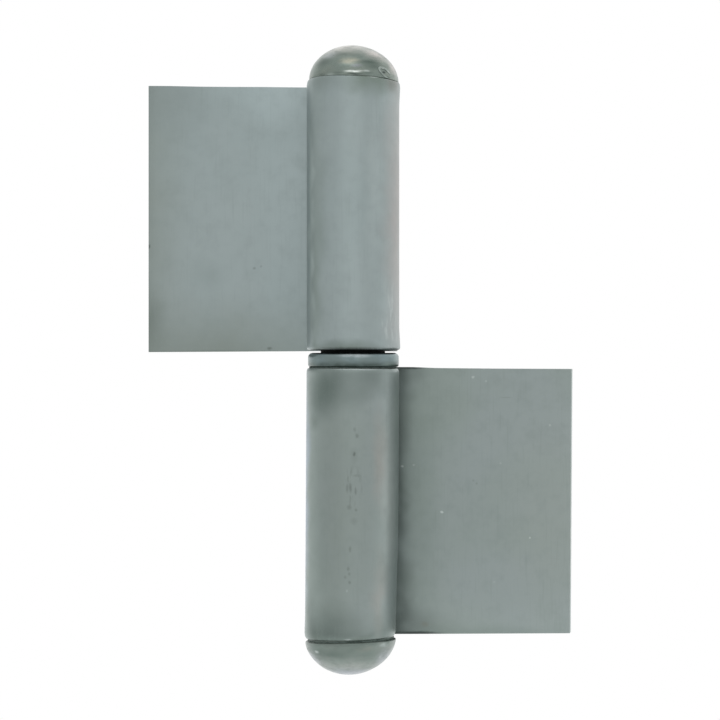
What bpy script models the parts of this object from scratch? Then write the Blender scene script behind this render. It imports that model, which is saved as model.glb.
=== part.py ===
"""Weld-on lift-off hinge of bare steel, 140 mm long over its domed ends.

Metres, +Z up along the pin. The leaves lie in the XZ plane with their backs towards +Y, the
frame leaf below and towards +X, the door leaf above and towards -X. The origin is on the pin's
axis, half way along the overall length.

Each leaf is one strip of steel. Its flat part is tangent to the back of the barrel that the rest
of the strip is rolled into, and the rolled edge closes on the front of the flat part. The door
leaf is the same part as the frame leaf, turned end for end. The pin stands in the frame leaf's
barrel and carries a loose bearing ring, and the door leaf lifts off it. A turned cap with a domed
head closes the outer end of each barrel.
"""

import math

import bmesh
import bpy

# Strip, as rolled into each leaf
SHEET_THICKNESS = 0.0030
LEAF_REACH = 0.0480
LEAF_SETBACK = 0.0009
BARREL_LENGTH = 0.0605
BEND_RUN = 0.0015
ROLL_SEAM = 0.0003
SHEARED_EDGE_ROUND = 0.0003
BARREL_END_ROUND = 0.0009

# Pin and its fit in the barrels
PIN_RADIUS = 0.0070
PIN_CLEARANCE = 0.0003
PIN_TIP_ROOM = 0.0097
PIN_TIP_CHAMFER = 0.0012

# Loose ring between the barrels
RING_RADIUS = 0.0100
RING_HEIGHT = 0.0027
RING_EDGE_ROUND = 0.0008
RING_BORE_CHAMFER = 0.0003

# Domed caps
DOME_HEIGHT = 0.0074
CAP_RIM_ROUND = 0.0003
SPIGOT_LENGTH = 0.0060
SPIGOT_CHAMFER = 0.0006

# Gaps along the pin
SEAT_GAP = 0.0003
RING_RUNNING_GAP = 0.0006

# Facets of round faces
TURN_STEPS = 56
ROUND_STEPS = 3
DOME_STEPS = 9

BORE_RADIUS = PIN_RADIUS + PIN_CLEARANCE
BARREL_RADIUS = BORE_RADIUS + SHEET_THICKNESS
CAP_LENGTH = DOME_HEIGHT + SEAT_GAP
MIDDLE_LENGTH = SEAT_GAP + RING_HEIGHT + RING_RUNNING_GAP
OVERALL_LENGTH = 2 * (CAP_LENGTH + BARREL_LENGTH) + MIDDLE_LENGTH

# Heights along the pin, from the lower dome upwards
LOWER_CAP_SEAT = DOME_HEIGHT - OVERALL_LENGTH / 2
LOWER_BARREL_FOOT = LOWER_CAP_SEAT + SEAT_GAP
LOWER_BARREL_TOP = LOWER_BARREL_FOOT + BARREL_LENGTH
RING_FOOT = LOWER_BARREL_TOP + SEAT_GAP
UPPER_BARREL_FOOT = RING_FOOT + RING_HEIGHT + RING_RUNNING_GAP
UPPER_BARREL_TOP = UPPER_BARREL_FOOT + BARREL_LENGTH
UPPER_CAP_SEAT = UPPER_BARREL_TOP + SEAT_GAP

HALF_TURN = math.pi
SHARP_ANGLE = math.radians(32)


def clear_scene():
    for old in list(bpy.data.objects):
        bpy.data.objects.remove(old, do_unlink=True)


def steel(name, colour, roughness, metallic):
    """A bare steel with its own tone."""
    material = bpy.data.materials.new(name)
    material.use_nodes = True
    shader = material.node_tree.nodes["Principled BSDF"]
    shader.inputs["Base Color"].default_value = (*colour, 1.0)
    shader.inputs["Roughness"].default_value = roughness
    shader.inputs["Metallic"].default_value = metallic
    return material


def place(name, mesh, material, collection, height=0.0, turned_over=False, parent=None):
    """Put a piece on the pin's axis at its height, the right way up or turned end for end."""
    piece = bpy.data.objects.new(name, mesh)
    collection.objects.link(piece)
    piece.data.materials.append(material)
    piece.location = (0.0, 0.0, height)
    piece.rotation_euler = (0.0, HALF_TURN if turned_over else 0.0, 0.0)
    piece.parent = parent
    return piece


def settle(piece):
    """Take the piece's modifiers into its mesh and shade it smooth up to its real corners."""
    evaluated = piece.evaluated_get(bpy.context.evaluated_depsgraph_get())
    mesh = bpy.data.meshes.new_from_object(evaluated)
    mesh.name = piece.name
    piece.modifiers.clear()
    piece.data = mesh
    mesh.shade_smooth()
    mesh.set_sharp_from_angle(angle=SHARP_ANGLE)


def rolled_strip_face():
    """Outer face of the strip: an upright edge spun into the barrel and pushed out as the leaf.

    The mesh's own origin is the barrel's ring end, on the pin's axis, and the barrel runs down
    from there with its leaf towards +X.
    """
    strip = bmesh.new()
    ring_end = strip.verts.new((0.0, BARREL_RADIUS, 0.0))
    cap_end = strip.verts.new((0.0, BARREL_RADIUS, -BARREL_LENGTH))
    bend_line = strip.edges.new((ring_end, cap_end))

    # The roll stops where its outer corner is a seam's width short of the leaf's front.
    corner_height = BARREL_RADIUS - SHEET_THICKNESS - ROLL_SEAM
    roll_angle = 2 * math.pi - math.pi / 2 + math.asin(corner_height / BARREL_RADIUS)
    roll_steps = round(TURN_STEPS * roll_angle / (2 * math.pi))
    bmesh.ops.spin(
        strip,
        geom=[bend_line, ring_end, cap_end],
        cent=(0.0, 0.0, 0.0),
        axis=(0.0, 0.0, 1.0),
        angle=roll_angle,
        steps=roll_steps,
    )

    # Past the bend the leaf's outer end stands back from the barrel's.
    outer_edge = bend_line
    for reach in (BEND_RUN, LEAF_REACH):
        pushed = bmesh.ops.extrude_edge_only(strip, edges=[outer_edge])["geom"]
        for vert in (item for item in pushed if isinstance(item, bmesh.types.BMVert)):
            vert.co.x = reach
            if vert.co.z < 0:
                vert.co.z = LEAF_SETBACK - BARREL_LENGTH
        outer_edge = next(item for item in pushed if isinstance(item, bmesh.types.BMEdge))

    bmesh.ops.recalc_face_normals(strip, faces=strip.faces)
    outermost = min(strip.faces, key=lambda face: face.calc_center_median().y)
    if outermost.normal.y > 0:
        bmesh.ops.reverse_faces(strip, faces=strip.faces)
    mesh = bpy.data.meshes.new("rolled_strip")
    strip.to_mesh(mesh)
    strip.free()
    return mesh


def weight_strip_edges(mesh):
    """Mark the strip's cut edges, with a larger round on the outside of the barrel's two ends."""
    solid = bmesh.new()
    solid.from_mesh(mesh)
    weights = solid.edges.layers.float.new("bevel_weight_edge")
    tolerance = SEAT_GAP / 10
    for edge in solid.edges:
        if len(edge.link_faces) != 2 or edge.calc_face_angle() < SHARP_ANGLE:
            continue
        level = abs(edge.verts[0].co.z - edge.verts[1].co.z) < tolerance
        on_barrel = all(vert.co.xy.length < BARREL_RADIUS + tolerance for vert in edge.verts)
        outside = all(vert.co.xy.length > BARREL_RADIUS - tolerance for vert in edge.verts)
        if level and on_barrel and outside:
            edge[weights] = 1.0
        else:
            edge[weights] = SHEARED_EDGE_ROUND / BARREL_END_ROUND
    solid.to_mesh(mesh)
    solid.free()


def rolled_leaf(name, material, collection, height, turned_over=False, parent=None):
    """One strip: leaf and barrel together, with its cut edges rounded."""
    leaf = place(name, rolled_strip_face(), material, collection, height, turned_over, parent)
    wall = leaf.modifiers.new("strip", "SOLIDIFY")
    wall.thickness = SHEET_THICKNESS
    wall.offset = -1.0
    wall.use_even_offset = True
    settle(leaf)
    weight_strip_edges(leaf.data)
    rounds = leaf.modifiers.new("cut_edges", "BEVEL")
    rounds.limit_method = "WEIGHT"
    rounds.width = BARREL_END_ROUND
    rounds.segments = ROUND_STEPS
    rounds.use_clamp_overlap = False
    settle(leaf)
    return leaf


def quarter(centre_r, centre_z, radius, start, end, steps=ROUND_STEPS):
    """Points of an arc in the profile's plane, from one angle to the other."""
    points = []
    for step in range(steps + 1):
        angle = start + (end - start) * step / steps
        points.append((centre_r + radius * math.cos(angle), centre_z + radius * math.sin(angle)))
    return points


def turned(name, profile, closed, material, collection, height, turned_over=False, parent=None):
    """A turned piece: a profile at +X, run down its outer side, screwed once round the axis."""
    points = [(radius, 0.0, along) for radius, along in profile]
    edges = [(index, index + 1) for index in range(len(points) - 1)]
    if closed:
        edges.append((len(points) - 1, 0))
    mesh = bpy.data.meshes.new(name)
    mesh.from_pydata(points, edges, [])
    piece = place(name, mesh, material, collection, height, turned_over, parent)
    lathe = piece.modifiers.new("turning", "SCREW")
    lathe.axis = "Z"
    lathe.angle = 2 * math.pi
    lathe.steps = TURN_STEPS
    lathe.render_steps = TURN_STEPS
    lathe.use_merge_vertices = True
    lathe.merge_threshold = 0.00001
    settle(piece)
    return piece


def hinge_pin(material, collection):
    """Plain pin, chamfered at both ends, from the lower cap up to a grease room under the upper."""
    foot = LOWER_CAP_SEAT + SPIGOT_LENGTH + SEAT_GAP
    tip = UPPER_CAP_SEAT - SPIGOT_LENGTH - PIN_TIP_ROOM
    length = tip - foot
    profile = [
        (0.0, length),
        (PIN_RADIUS - PIN_TIP_CHAMFER, length),
        (PIN_RADIUS, length - PIN_TIP_CHAMFER),
        (PIN_RADIUS, PIN_TIP_CHAMFER),
        (PIN_RADIUS - PIN_TIP_CHAMFER, 0.0),
        (0.0, 0.0),
    ]
    return turned("hinge_pin", profile, False, material, collection, foot)


def bearing_ring(material, collection):
    """Loose ring on the pin, with rounded rims and a lightly chamfered bore."""
    rim = RING_RADIUS - RING_EDGE_ROUND
    bore = BORE_RADIUS
    profile = quarter(rim, RING_HEIGHT - RING_EDGE_ROUND, RING_EDGE_ROUND, math.pi / 2, 0.0)
    profile += quarter(rim, RING_EDGE_ROUND, RING_EDGE_ROUND, 0.0, -math.pi / 2)
    profile += [
        (bore + RING_BORE_CHAMFER, 0.0),
        (bore, RING_BORE_CHAMFER),
        (bore, RING_HEIGHT - RING_BORE_CHAMFER),
        (bore + RING_BORE_CHAMFER, RING_HEIGHT),
    ]
    return turned("bearing_ring", profile, True, material, collection, RING_FOOT)


def end_cap(name, material, collection, height, turned_over=False, parent=None):
    """Domed head, a slice of a ball as wide as the barrel, on a spigot that fills the bore.

    The head's flat underside is at the mesh's own origin.
    """
    ball_centre = DOME_HEIGHT - BARREL_RADIUS
    rim_angle = math.asin((CAP_RIM_ROUND - ball_centre) / BARREL_RADIUS)
    dome = quarter(0.0, ball_centre, BARREL_RADIUS, math.pi / 2, rim_angle, DOME_STEPS)
    dome[0] = (0.0, DOME_HEIGHT)
    rim_radius = dome[-1][0]
    profile = dome + [
        (rim_radius - CAP_RIM_ROUND, 0.0),
        (PIN_RADIUS, 0.0),
        (PIN_RADIUS, SPIGOT_CHAMFER - SPIGOT_LENGTH),
        (PIN_RADIUS - SPIGOT_CHAMFER, -SPIGOT_LENGTH),
        (0.0, -SPIGOT_LENGTH),
    ]
    return turned(name, profile, False, material, collection, height, turned_over, parent)


def build_hinge():
    clear_scene()
    parts = bpy.data.collections.new("weld_on_hinge")
    bpy.context.scene.collection.children.link(parts)

    # Whatever lifts off and turns with the door hangs from an empty on the pin's axis.
    door_side = bpy.data.objects.new("door_side", None)
    door_side.location = (0.0, 0.0, 0.0)
    parts.objects.link(door_side)

    rolled_steel = (0.33, 0.36, 0.35)
    rolled_leaf(
        "lower_leaf", steel("lower_leaf", rolled_steel, 0.45, 0.9), parts, LOWER_BARREL_TOP
    )
    rolled_leaf(
        "upper_leaf", steel("upper_leaf", rolled_steel, 0.45, 0.9), parts,
        UPPER_BARREL_FOOT, turned_over=True, parent=door_side,
    )
    hinge_pin(steel("hinge_pin", (0.42, 0.43, 0.42), 0.30, 1.0), parts)
    bearing_ring(steel("bearing_ring", (0.36, 0.39, 0.39), 0.35, 1.0), parts)

    turned_steel = (0.38, 0.38, 0.36)
    end_cap(
        "lower_end_cap", steel("lower_end_cap", turned_steel, 0.32, 1.0), parts,
        LOWER_CAP_SEAT, turned_over=True,
    )
    end_cap(
        "upper_end_cap", steel("upper_end_cap", turned_steel, 0.32, 1.0), parts,
        UPPER_CAP_SEAT, parent=door_side,
    )


build_hinge()
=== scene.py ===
# %% [markdown]
# # A weld-on lift-off hinge
# The hinge is bare mild steel as it leaves the maker's drum: two leaves that are each one rolled
# strip, a pin, a loose ring and two domed caps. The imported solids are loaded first. They fix
# every size, and each detailed piece below stands exactly where its solid stands.

import math

import bmesh
import bpy
from mathutils import Matrix, Vector, noise


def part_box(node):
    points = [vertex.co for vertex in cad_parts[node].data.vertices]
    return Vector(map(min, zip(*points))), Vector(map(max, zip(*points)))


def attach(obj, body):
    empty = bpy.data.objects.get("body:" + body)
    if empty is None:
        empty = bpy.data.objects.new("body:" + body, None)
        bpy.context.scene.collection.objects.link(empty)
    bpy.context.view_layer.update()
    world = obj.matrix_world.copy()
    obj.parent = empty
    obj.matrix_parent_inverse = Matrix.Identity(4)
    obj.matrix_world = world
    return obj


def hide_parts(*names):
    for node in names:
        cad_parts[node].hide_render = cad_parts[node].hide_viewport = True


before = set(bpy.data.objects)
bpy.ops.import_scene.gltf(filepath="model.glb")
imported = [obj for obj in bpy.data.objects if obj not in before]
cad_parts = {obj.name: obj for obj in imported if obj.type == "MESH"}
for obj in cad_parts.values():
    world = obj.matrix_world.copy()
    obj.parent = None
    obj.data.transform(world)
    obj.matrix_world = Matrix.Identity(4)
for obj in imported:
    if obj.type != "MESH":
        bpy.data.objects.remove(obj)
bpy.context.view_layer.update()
print("nodes", sorted(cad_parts))

# %% [markdown]
# ## Sizes
# A length that the solids already hold is read from their boxes, so the two can't disagree. What
# a box can't tell, such as the thickness of the strip, is named once here, in metres.

# %% Read the sizes off the solids
MM = 0.001
frame_leaf_low, frame_leaf_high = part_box("lower_leaf")
door_leaf_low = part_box("upper_leaf")[0]
ring_low, ring_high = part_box("bearing_ring")
pin_low, pin_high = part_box("hinge_pin")
cap_low, cap_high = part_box("upper_end_cap")

BARREL_RADIUS = frame_leaf_high[1]
BARREL_TOP = frame_leaf_high[2]
BARREL_FOOT = frame_leaf_low[2]
LEAF_REACH = frame_leaf_high[0]
RING_RADIUS = ring_high[0]
PIN_RADIUS = pin_high[0]
DOME_CROWN = cap_high[2]
SHEET = 3.0 * MM
SPIGOT_FOOT = cap_low[2]
BORE_RADIUS = BARREL_RADIUS - SHEET
print("barrel", round(BARREL_RADIUS / MM, 2))
print("leaves from", round(door_leaf_low[0] / MM, 2), "to", round(LEAF_REACH / MM, 2))
print("barrel from", round(BARREL_FOOT / MM, 2), "to", round(BARREL_TOP / MM, 2))
print("cap from", round(SPIGOT_FOOT / MM, 2), "to", round(DOME_CROWN / MM, 2))

# %% [markdown]
# ## Camera
# The photograph was taken from close by: the ends of the barrels curve as they do about two
# thirds of a metre away, with the lens level with the ring. The leaf on the right reaches
# further from the pin than the left one, which puts the camera a little to the right of square.
# A wider lens set nearer would bend the barrel ends more, and a longer one would flatten them.

# %% Set the camera
scene = bpy.context.scene
VIEW_AZIMUTH = math.radians(8.5)
VIEW_DISTANCE = 0.667
SENSOR_WIDTH = 36.0
FRAME_WIDTH_AT_PIN = 0.1599
PIN_LEFT_OF_CENTRE_PX = 7.1
PHOTO_WIDTH_PX = 720

camera_data = bpy.data.cameras.new("studio_camera")
camera = bpy.data.objects.new("studio_camera", camera_data)
scene.collection.objects.link(camera)
scene.camera = camera
camera_data.sensor_width = SENSOR_WIDTH
camera_data.lens = SENSOR_WIDTH * VIEW_DISTANCE / FRAME_WIDTH_AT_PIN
camera_data.shift_x = PIN_LEFT_OF_CENTRE_PX / PHOTO_WIDTH_PX
camera_data.clip_start = 0.01
camera_data.dof.use_dof = False
camera.location = (
    VIEW_DISTANCE * math.sin(VIEW_AZIMUTH),
    -VIEW_DISTANCE * math.cos(VIEW_AZIMUTH),
    0.0,
)
towards_pin = -Vector(camera.location)
camera.rotation_euler = towards_pin.to_track_quat("-Z", "Y").to_euler()
print("lens in mm", round(camera_data.lens, 1))

# %% [markdown]
# ## Helpers
# Every finish here is a small net of nodes. One function adds a node, sets its properties and
# fills or links its inputs, so that each line below says only what that node does, and one brings
# a value to another range. Colours are picked as sRGB hex, as off a paint chart, and turned to
# linear light here. A last helper stands a finished bmesh in the scene.

# %% Colours, nodes and objects
PIN_AXIS = {"cent": (0.0, 0.0, 0.0), "axis": (0.0, 0.0, 1.0)}
# Places of the Mix node's colour sockets, because their names aren't unique
MIX_A, MIX_B, MIX_COLOUR = 6, 7, 2


def linear(hex_colour):
    """sRGB hex, such as 8F9C9A, to a linear RGBA colour."""
    channels = []
    for start in (0, 2, 4):
        value = int(hex_colour[start:start + 2], 16) / 255.0
        channels.append(value / 12.92 if value <= 0.04045 else ((value + 0.055) / 1.055) ** 2.4)
    return (*channels, 1.0)


def add(tree, kind, inputs=None, **settings):
    """Add a shader node, set its properties, and fill or link its inputs."""
    node = tree.nodes.new("ShaderNode" + kind)
    for setting, value in settings.items():
        setattr(node, setting, value)
    for key, value in (inputs or {}).items():
        if isinstance(value, bpy.types.NodeSocket):
            tree.links.new(value, node.inputs[key])
        else:
            node.inputs[key].default_value = value
    return node


def remap(tree, value, low, high, start=-1.0, end=1.0, shape="LINEAR"):
    """Bring a value that runs from start to end to the range from low to high."""
    node = add(
        tree, "MapRange",
        {"Value": value, "From Min": start, "From Max": end, "To Min": low, "To Max": high},
        interpolation_type=shape,
    )
    return node.outputs["Result"]


def stand(name, work):
    """Turn a bmesh into an object of the scene, at the origin."""
    mesh = bpy.data.meshes.new(name)
    work.to_mesh(mesh)
    work.free()
    piece = bpy.data.objects.new(name, mesh)
    scene.collection.objects.link(piece)
    return piece


print("mid grey green in linear light", [round(value, 3) for value in linear("8F9C9A")])

# %% [markdown]
# ## Studio
# The photograph is a bright, shadowless product shot on a white ground. Bare steel shows whatever
# is round it, so the surroundings are the most important light. A plain white sky would leave the
# hinge flat. Here the sky is a light grey in front of the hinge, as a studio's open side is, and
# brightest in a ring beside and just behind it, as white panels would be. That ring draws the pale
# lines down the edges of the barrels. The camera itself sees plain white.

# %% Sky
SKY_BY_DEPTH = [(0.0, 0.93), (0.5, 0.97), (0.67, 1.02), (0.84, 1.28), (0.92, 1.32), (1.0, 1.05)]
SKY_BY_HEIGHT = (0.92, 1.08)
SKY_TO_RIGHT = (0.92, 1.06)
# A colour ramp holds no more than 1, so strengths are halved in it and doubled after it.
SKY_SCALE = 2.0
PANEL_WHITE = linear("FFFFFF")


def white_to_camera(tree, light, output, inputs):
    """Show plain white to the camera, and throw what the inputs say on everything else."""
    thrown = add(tree, light, inputs)
    plain = add(tree, light, {"Color": PANEL_WHITE, "Strength": 1.0})
    ray = add(tree, "LightPath").outputs["Is Camera Ray"]
    chosen = add(tree, "MixShader", {0: ray, 1: thrown.outputs[0], 2: plain.outputs[0]})
    add(tree, output, {"Surface": chosen.outputs[0]})


world = bpy.data.worlds.new("studio_sky")
scene.world = world
world.use_nodes = True
sky = world.node_tree
sky.nodes.clear()
direction = add(sky, "TexCoord")
along = add(sky, "SeparateXYZ", {"Vector": direction.outputs["Generated"]})
panels = add(sky, "ValToRGB", {"Fac": remap(sky, along.outputs["Y"], 0.0, 1.0)})
stops = panels.color_ramp.elements
for place, strength in SKY_BY_DEPTH[1:-1]:
    stops.new(place)
for stop, (place, strength) in zip(stops, SKY_BY_DEPTH):
    stop.position = place
    stop.color = (*[strength / SKY_SCALE] * 3, 1.0)
upward = remap(sky, along.outputs["Z"], *(value * SKY_SCALE for value in SKY_BY_HEIGHT))
to_right = remap(sky, along.outputs["X"], *SKY_TO_RIGHT)
power = add(sky, "Math", {0: upward, 1: to_right}, operation="MULTIPLY")
white_to_camera(
    sky, "Background", "OutputWorld",
    {"Color": panels.outputs["Color"], "Strength": power.outputs["Value"]},
)
print("sky from front to back", SKY_BY_DEPTH)

# %% [markdown]
# ## Floor and lights
# The floor is an opal light table, so it shows white and casts no shadow, as in the photograph.
# It is brightest just behind the hinge, which lifts the underside of the lower dome. Two large
# soft boxes finish the set: one above draws the soft patch on the upper dome, and one in front
# and a little to the right gives the barrels their shape. Standard view keeps white as white.

# %% Light table and soft boxes
FLOOR_DROP = 0.2 * MM
TABLE_HALF = 3.0
TABLE_FRONT, TABLE_BEHIND = 0.80, 1.45
TABLE_BLEND = (-50 * MM, -5 * MM)

flat = bmesh.new()
bmesh.ops.create_grid(flat, x_segments=1, y_segments=1, size=TABLE_HALF)
bmesh.ops.translate(flat, verts=flat.verts, vec=(0.0, 0.0, -DOME_CROWN - FLOOR_DROP))
floor = stand("light_table", flat)

table_white = bpy.data.materials.new("opal_light_table")
table_white.use_nodes = True
table = table_white.node_tree
table.nodes.clear()
where = add(table, "TexCoord")
along = add(table, "SeparateXYZ", {"Vector": where.outputs["Object"]})
glow = remap(table, along.outputs["Y"], TABLE_FRONT, TABLE_BEHIND, *TABLE_BLEND, "SMOOTHSTEP")
white_to_camera(
    table, "Emission", "OutputMaterial", {"Color": PANEL_WHITE, "Strength": glow},
)
floor.data.materials.append(table_white)

scene.view_settings.view_transform = "Standard"
scene.view_settings.look = "None"


def soft_box(name, place, size, watts):
    """A square area light that faces the pin."""
    light = bpy.data.lights.new(name, "AREA")
    light.shape = "SQUARE"
    light.size = size
    light.energy = watts
    lamp = bpy.data.objects.new(name, light)
    scene.collection.objects.link(lamp)
    lamp.location = place
    lamp.rotation_euler = (-Vector(place)).to_track_quat("-Z", "Y").to_euler()


soft_box("soft_box_front", (0.12, -1.30, 0.42), 1.2, 1.5)
soft_box("soft_box_top", (-0.06, -0.32, 0.95), 0.45, 0.6)

# %% [markdown]
# ## The rolled leaf
# On the real hinge a strip of 3 mm steel is sheared off and one end is curled round a mandrel, so
# leaf and barrel are one piece, and the curl's edge closes on the leaf's front. It could be a tube
# joined to a plate, but then the inside of the curl, the seam and the tangent back would be wrong.
# Here one upright edge is spun through the curl's angle and pushed out as the leaf, which is
# what the press does, and the strip's thickness comes after.

# %% Strip sizes
CURL_STEPS = 168
LEAF_CUTS = 26
SEAM = 0.2 * MM
BEND_RUN = 1.5 * MM
EDGE_BREAK = 0.22 * MM
LENGTH_STEP = 1.4 * MM
END_STEPS = [0.0, 0.07, 0.16, 0.28, 0.43, 0.62, 0.85, 1.12, 1.45, 1.9, 2.6]
SHARP = math.radians(30)
LEAF_FRONT = BARREL_RADIUS - SHEET

# Flats left by the rolls, and a slower wander: how many, how far turned, how deep in mm
FLATS, FLAT_TURN, FLAT_DEPTH = 6.0, 2.2, 0.008
WANDER_ROUND, WANDER_ALONG, WANDER_DEPTH = 1.7, 16.0, 0.035


def strip_heights():
    """Heights of the strip's loops: close together at the barrel's two ends."""
    length = BARREL_TOP - BARREL_FOOT
    near = [step * MM for step in END_STEPS]
    plain = round((length - 2 * near[-1]) / LENGTH_STEP)
    middle = [near[-1] + (length - 2 * near[-1]) * step / plain for step in range(1, plain)]
    far = [length - step for step in reversed(near)]
    return [BARREL_TOP - fall for fall in near + middle + far]


def curl_wander(angle, height):
    """How far the curl sinks in from a true circle, in metres. It never stands proud."""
    flats = 0.5 + 0.5 * math.cos(FLATS * angle + FLAT_TURN)
    across, depth = math.cos(angle) * WANDER_ROUND, math.sin(angle) * WANDER_ROUND
    rolls = 0.5 + 0.5 * noise.noise(Vector((across, depth, height * WANDER_ALONG)))
    return -(FLAT_DEPTH * flats + WANDER_DEPTH * rolls) * MM


HEIGHTS = strip_heights()
print("loops along the barrel", len(HEIGHTS))

# %% [markdown]
# ## What the shears and the press leave
# No two real leaves are alike. Shears leave the leaf a little out of square, so each corner has
# its own distance from the barrel's end. The press rounds the barrel's ends over and leaves them
# a little uneven: drawn back, tilted, or sagging at the sides. It swells them by a few tenths on
# the side away from the leaf, and it has pulled the lower curl tighter towards its foot. In the
# photograph the lower half also leans by a third of a degree, which is the play that a loose pin
# gives. All of this stays inside the solids' box.

# %% Corners, ends and lean, in millimetres and degrees
FRAME_LEAF = {
    "ring_edge": [(0, 0.30), (13, 0.28), (17, 0.12), (30, 0.08), (48, 0.12)],
    "cap_edge": [(0, 0.73), (48, 1.89)],
    "ring_draw": 0.0, "cap_draw": 0.70, "ring_sag": 0.10, "cap_sag": 0.0, "cap_tilt": 0.33,
    "ring_round": (0.55, 1.0), "cap_round": (0.68, 1.7), "swell": (0.0, 0.16), "tuck": (0.45, 26.0),
    "lean": 0.36, "shift": 0.0, "cap_break": 1.0,
}
DOOR_LEAF = {
    "ring_edge": [(0, -0.24), (48, 0.01)],
    "cap_edge": [
        (0, 0.0), (4, 0.12), (7.2, 1.04), (15, 0.88), (22, 0.70), (29, 0.59), (36, 0.44),
        (43, 0.20), (48, 0.11),
    ],
    "ring_draw": 0.38, "cap_draw": 0.0, "ring_sag": -0.25, "cap_sag": 0.55, "cap_tilt": -0.25,
    "ring_round": (0.70, 0.6), "cap_round": (0.40, 1.6), "swell": (0.26, 0.26), "tuck": (0.0, 1.0),
    "lean": 0.0, "shift": -0.03, "cap_break": 0.3,
}

# Shares of the barrel's radius past which an end sags, and past which the ring's end does
SAG_FROM, RING_SAG_FROM = 0.4, 0.55


def beyond(share, start):
    """0 up to a start, and rising to 1 where the share is 1."""
    return max(0.0, share - start) / (1.0 - start)


def along_edge(table, reach):
    """Value of a table of (distance, value) pairs at that distance, in straight steps."""
    for (near, low), (far, high) in zip(table[:-1], table[1:]):
        if reach <= far:
            return low + (high - low) * (reach - near) / (far - near)
    return table[-1][1]


def uneven(tilt, sag, across):
    """How far a tilted and sagging edge stands back, in millimetres, across the pin."""
    share = across / BARREL_RADIUS
    return tilt * share + sag * beyond(abs(share), SAG_FROM) ** 2


def cap_end(marks, across):
    """How far the barrel's capped end stands back, in millimetres."""
    return marks["cap_draw"] + uneven(marks["cap_tilt"], marks["cap_sag"], across)


def fall_off(depth, reach, distance):
    """An elliptical round: its depth at the end, and nothing past its reach."""
    if distance >= reach:
        return 0.0
    return depth * (1.0 - math.sqrt(max(0.0, 1.0 - ((reach - distance) / reach) ** 2)))


# %% [markdown]
# ## Curl and push out
# The strip's outer face comes first, without thickness. The curl wanders a few hundredths from a
# true circle, as rolls leave it, and then its ends and the leaf's corners follow the tables.

# %% Curl one strip and push out its leaf
ON_BEND_LINE = 0.999


def curled_face(marks):
    """Outer face of a strip in the frame leaf's place, barrel curled and leaf pushed out."""
    strip = bmesh.new()
    chain = [strip.verts.new((0.0, BARREL_RADIUS, height)) for height in HEIGHTS]
    bend_line = [strip.edges.new(pair) for pair in zip(chain[:-1], chain[1:])]
    bmesh.ops.spin(
        strip, geom=chain + bend_line, steps=CURL_STEPS,
        angle=1.5 * math.pi + math.asin((LEAF_FRONT - SEAM) / BARREL_RADIUS), **PIN_AXIS,
    )
    for vert in strip.verts:
        if vert.co.y < BARREL_RADIUS * ON_BEND_LINE:
            sunk = curl_wander(math.atan2(vert.co.y, vert.co.x), vert.co.z)
            vert.co.xy = vert.co.xy * (1.0 + sunk / BARREL_RADIUS)

    outer = bend_line
    leaf_verts = []
    step_length = (LEAF_REACH - BEND_RUN) / LEAF_CUTS
    for reach in [BEND_RUN + step_length * step for step in range(LEAF_CUTS + 1)]:
        pushed = bmesh.ops.extrude_edge_only(strip, edges=outer)["geom"]
        outer = [item for item in pushed if isinstance(item, bmesh.types.BMEdge)]
        new_verts = [item for item in pushed if isinstance(item, bmesh.types.BMVert)]
        for vert in new_verts:
            vert.co.x = reach
        leaf_verts += new_verts
    leaf_verts = set(leaf_verts)
    for vert in strip.verts:
        down = (BARREL_TOP - vert.co.z) / (BARREL_TOP - BARREL_FOOT)
        if vert in leaf_verts:
            ring_out = along_edge(marks["ring_edge"], vert.co.x / MM)
            cap_out = along_edge(marks["cap_edge"], vert.co.x / MM)
        else:
            away = beyond(-vert.co.x / BARREL_RADIUS, RING_SAG_FROM)
            ring_out = -marks["ring_draw"] - marks["ring_sag"] * away * away
            cap_out = cap_end(marks, vert.co.x)
        top_z = BARREL_TOP + ring_out * MM
        foot_z = BARREL_FOOT + cap_out * MM
        vert.co.z = top_z - down * (top_z - foot_z)

    bmesh.ops.recalc_face_normals(strip, faces=strip.faces)
    outermost = min(strip.faces, key=lambda face: face.calc_center_median().y)
    if outermost.normal.y > 0:
        bmesh.ops.reverse_faces(strip, faces=strip.faces)
    return strip


print("curl sinks at most", round(-min(curl_wander(a * 0.1, 0.0) for a in range(63)) / MM, 3), "mm")

# %% [markdown]
# ## Thickness and edges
# Solidify gives the strip its thickness inwards. The ends of the barrel are then drawn in on the
# outside only, by an elliptical round that one Bevel couldn't give, since it is longer along the
# pin than it is deep. A narrow Bevel breaks every cut edge, as a file or a drum does. Modifiers
# are taken into the mesh, because the piece has to stand at the origin with its place in its mesh.

# %% Take modifiers in, and finish a leaf
CORNER = math.radians(38)
SKIN_DEPTH, SKIN_SLACK, FRONT_SLACK = 0.5 * MM, 0.01 * MM, 0.1 * MM
CAP_ZONE = 2.0 * MM

# In millimetres: how far the swell reaches, and how the bend into the leaf is kept from it
SWELL_REACH = 5.0
BEND_CLEAR, BEND_BLEND = 2.0, 2.5


def settle(piece):
    """Take the piece's modifiers into its mesh, shaded smooth up to its real corners."""
    evaluated = piece.evaluated_get(bpy.context.evaluated_depsgraph_get())
    mesh = bpy.data.meshes.new_from_object(evaluated)
    mesh.name = piece.name
    piece.modifiers.clear()
    piece.data = mesh
    mesh.shade_smooth()
    mesh.set_sharp_from_angle(angle=SHARP)


def triangles(mesh):
    """How many triangles a mesh has."""
    mesh.calc_loop_triangles()
    return len(mesh.loop_triangles)


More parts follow.
